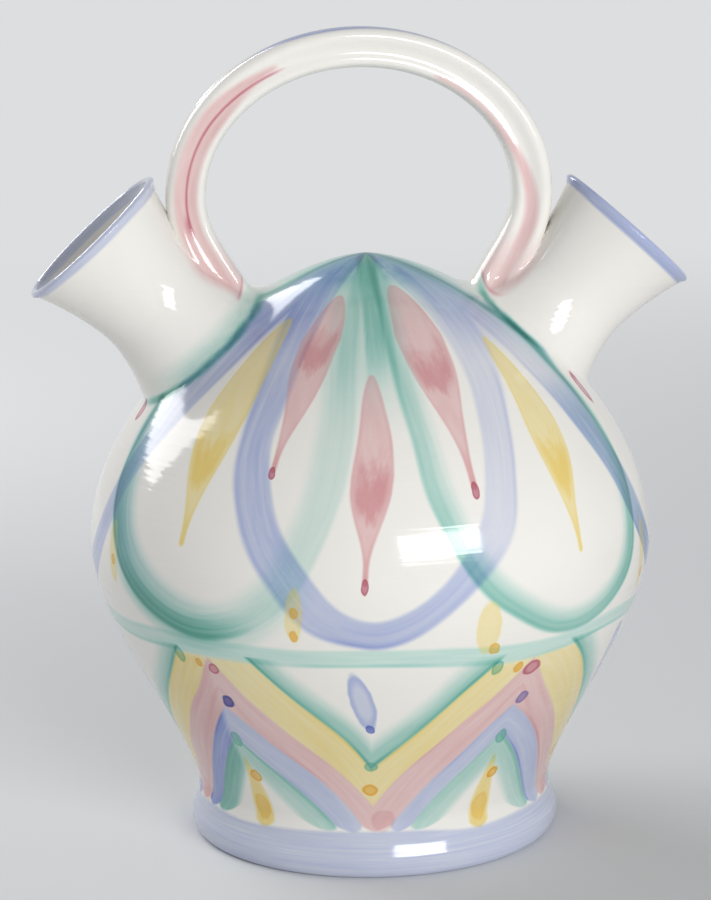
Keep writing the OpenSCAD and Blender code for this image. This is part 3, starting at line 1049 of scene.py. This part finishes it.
# %% The strap's strokes
def strap_paint(b, total):
    """Pink down the strap's flutes to a pool on each foot, and a blue line along its back."""
    way, out = b["strap way"], b["strap out"]
    middle = strap_way[-1] / 2
    right_leg, from_top = way.rise(middle + 6, middle - 6), abs(way - middle)
    face = abs(b["y"]).rise(3.0, 5.5)
    streak = noise(b, out * 0.35, way * 0.03, 10.0, 4.0)
    wander = (b["sway"] - 0.5) * 2.4
    centre = -0.2 - right_leg * 5.2 * from_top.rise(106.0, 62.0)
    left_half = 3.7 * from_top.rise(26.0, 62.0) * (1 - right_leg)
    half = 0.3 + left_half + right_leg * (0.1 + 1.8 * from_top.rise(50.0, 104.0))
    on_flute = (abs(out - centre + wander * 0.6) - half).rise(1.6, -1.2) * face
    pool_end = from_top - 134 + 0.13 * (out + 1) ** 2.0
    pool = b["strap gap"].rise(6.0, 1.5) * from_top.rise(104.0, 126.0) * face * 0.7
    flute = on_flute * b["strap gap"].rise(2.6, 1.2) * from_top.rise(29.0, 33.0)
    total = laid(total, flute.most(pool) * pool_end.rise(0.8, -0.8) * (0.2 + 0.9 * streak), "pink")
    rim = (pool_end + 0.8).bell(0.6) * pool * b["sway"].rise(0.3, 0.6)
    fold_at = out + 0.5 + 1.4 * from_top.rise(70.0, 28.0) + wander * 0.4 + right_leg * 20
    fold = fold_at.bell(0.45) * face * from_top.rise(26.0, 36.0) * from_top.rise(108.0, 100.0)
    hook = (from_top - 102).bell(3.5) * (fold_at - 0.7).bell(0.9) * face
    total = laid(total, rim * 0.45 + (fold * 0.75 + hook * 0.7) * (0.3 + 1.1 * streak), "rose")
    back = (abs(b["y"] + 1.5) + wander + (from_top / 46) ** 4.0 * 2.5).rise(5.0, 3.0) * out.rise(5.0, 6.2)
    return laid(total, back * b["strap gap"].rise(2.6, 1.2) * (0.3 + streak), "blue")


# %% The lips' edges
def trim_paint(b):
    """The blue edges of the lips, by depth below each lip, and the strap's paint."""
    x, y, up = b["x"], b["y"], b["z"] - root_up
    total = (0.0, 0.0, 0.0)
    for spout, dense in ((spouts["left"], 0.8), (spouts["right"], 1.4)):
        lean = spout["lean"]
        rise = x * math.sin(lean) + up * math.cos(lean)
        out = (x * x + y * y + up * up - rise * rise).most(0.0).sqrt()
        depth = spout["reach"] / MM - rise
        streak = noise(b, depth * 0.6, b["sway"] * 4, 9.0)
        edge = (depth + (b["sway"] - 0.5) * 4).rise(4.4, 3.0) * depth.above(-1.0) * out.rise(34.0, 33.0)
        total = laid(total, edge * (x * lean).above(0.0) * (0.15 + 1.2 * streak) * dense, "lilac")
    return strap_paint(b, total)


# %% Glazing: the summed pigments dim the white, under one shiny skin
def glazed(name, paint):
    """The glaze as one material over what the paint function lays down."""
    b = bench(name)
    here = b["here"]
    red, green, blue = paint(b).split()
    cloud = here.node("ShaderNodeTexNoise", {"Vector": here, "Scale": 22.0, "Detail": 4.0})
    tone = 0.965 + cloud * 0.07
    colour = here.triple(
        (-red).exp() * tone * white[0], (-green).exp() * tone * white[1],
        (-blue).exp() * (0.95 + cloud * 0.1) * white[2])
    rings = noise(b, b["z"] * 0.28, b["girth"] * 0.02, 11.0, 2.0)
    orange_peel = here.node("ShaderNodeTexNoise", {"Vector": here, "Scale": 160.0, "Detail": 1.0})
    thrown = b["strap gap"].rise(2.0, 5.0)
    height = rings * thrown * 0.8 + orange_peel * 0.1
    relief = here.node("ShaderNodeBump", {"Strength": 0.25, "Distance": 0.0006, "Height": height}, "Normal")
    shader = b["tree"].nodes["Principled BSDF"]
    for label, wire in (("Base Color", colour), ("Normal", relief), ("Roughness", 0.07 + cloud * 0.05)):
        b["tree"].links.new(wire.socket, shader.inputs[label])
    shader.inputs["IOR"].default_value = 1.5
    print(name, "has", len(b["tree"].nodes), "nodes")
    return b["stuff"]


vase.data.materials.clear()
for name, paint in (
        ("painted_crown", crown_paint), ("painted_skirt", skirt_paint), ("edged_glaze", trim_paint)):
    vase.data.materials.append(glazed(name, paint))

# %% Which stuff each face takes
sizes_of = np.empty(len(vase.data.polygons), int)
vase.data.polygons.foreach_get("loop_total", sizes_of)
corners = np.empty(len(vase.data.loops), int)
vase.data.loops.foreach_get("vertex_index", corners)
first = np.r_[0, np.cumsum(sizes_of)[:-1]]


def face_mean(values):
    """The mean of a value over the corners of each face."""
    return np.add.reduceat(values[corners], first) / sizes_of


crown, skirt, trims = 0, 1, 2
gap_here, way_here = face_mean(side_gap), face_mean(side_way)
kind = np.where(way_here > ring_middle + 1.5, skirt, crown)
kind[(gap_here > 9) | (gap_here < -2)] = trims
vase.data.polygons.foreach_set("material_index", kind.astype(np.int32))
vase.data.update()
print("faces of crown, skirt and trims:", np.bincount(kind))
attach(vase, "root")
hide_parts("vase")

# %% [markdown]
# ## Camera
# The photograph was taken from a little above the belly with a long lens, slightly from the left.
# The place was fitted to the pot's outline, so the values are written as they were measured.

# %% The photograph's view
turn, pitch, roll = 0.105, 0.2063, 0.0169
camera = bpy.data.objects.new("camera", bpy.data.cameras.new("camera"))
scene.collection.objects.link(camera)
camera.data.lens = 113.13
camera.data.clip_end = 20
place = np.array([-113.3, -1027.7, 360.1]) * MM
forward = np.array([math.cos(pitch) * math.sin(turn), math.cos(pitch) * math.cos(turn), -math.sin(pitch)])
right = np.array([math.cos(turn), -math.sin(turn), 0])
up = np.cross(right, forward)
across = math.cos(roll) * right - math.sin(roll) * up
upward = math.sin(roll) * right + math.cos(roll) * up
camera.matrix_world = Matrix([*zip(across, upward, -forward, place), (0, 0, 0, 1)])
scene.camera = camera
print("the camera stands", round(float(np.linalg.norm(place)), 3), "m from the foot")

# %% [markdown]
# ## Light and floor
# A glazed pot shows its form by what it mirrors, so one softbox in front and one behind stand where
# the photograph's highlights ask for them. The floor is pale paper that glows into the backdrop
# further out, and a dim world fills the shadows without showing in the glaze.

# %% The lamps
belly_up = Vector((0, 0, 0.13))


def lamp(name, azimuth, elevation, distance, width, height, power):
    """A softbox that faces the belly from that direction, in degrees from the front."""
    a, e = math.radians(azimuth), math.radians(elevation)
    toward = Vector((math.sin(a) * math.cos(e), -math.cos(a) * math.cos(e), math.sin(e)))
    data = bpy.data.lights.new(name, "AREA")
    data.shape, data.size, data.size_y, data.energy = "RECTANGLE", width, height, power
    light = bpy.data.objects.new(name, data)
    scene.collection.objects.link(light)
    light.location = toward * distance + belly_up
    light.rotation_euler = toward.to_track_quat("Z", "Y").to_euler()


lamp("front softbox", 22, 16, 1.6, 0.9, 0.4, 15.9)
lamp("back softbox", -138, 31, 1.6, 1.4, 0.8, 18)
print("lamps:", [light.name for light in bpy.data.lights])

# %% The paper floor
pale = (0.72, 0.73, 0.74)
floor_mesh = bpy.data.meshes.new("floor")
floor_mesh.from_pydata([(-9, -9, 0), (9, -9, 0), (9, 9, 0), (-9, 9, 0)], [], [(0, 1, 2, 3)])
floor = bpy.data.objects.new("floor", floor_mesh)
scene.collection.objects.link(floor)
paper = bpy.data.materials.new("paper")
paper.use_nodes = True
tree = paper.node_tree
spot = Wire(tree).node("ShaderNodeTexCoord", out="Object")
away = spot.node("ShaderNodeVectorMath", {0: spot}, "Value", operation="LENGTH").rise(0.35, 1.7)
matt = tree.nodes["Principled BSDF"]
matt.inputs["Base Color"].default_value = (*pale, 1)
matt.inputs["Roughness"].default_value = 0.9
glow = spot.node("ShaderNodeEmission", {"Color": (*pale, 1), "Strength": 1.0}, "Emission")
both = spot.node("ShaderNodeMixShader", {0: away, 1: Wire(tree, matt.outputs[0]), 2: glow}, "Shader")
tree.links.new(both.socket, tree.nodes["Material Output"].inputs["Surface"])
floor_mesh.materials.append(paper)

# %% The world: dim light, and the backdrop's pale colour to the camera and in the glaze
world = bpy.data.worlds.new("studio")
scene.world = world
world.use_nodes = True
tree = world.node_tree
ray = Wire(tree).node("ShaderNodeLightPath", out="Is Camera Ray")
seen = ray.most(ray.also("Is Glossy Ray")).most(ray.also("Is Transmission Ray"))
plain = tree.nodes["Background"]
plain.inputs["Color"].default_value = (0.93, 0.95, 1.0, 1)
plain.inputs["Strength"].default_value = 0.28
shown = ray.node("ShaderNodeBackground", {"Color": (*pale, 1), "Strength": 1.0}, "Background")
both = ray.node("ShaderNodeMixShader", {0: seen, 1: Wire(tree, plain.outputs[0]), 2: shown}, "Shader")
tree.links.new(both.socket, tree.nodes["World Output"].inputs["Surface"])
scene.view_settings.view_transform = "Standard"
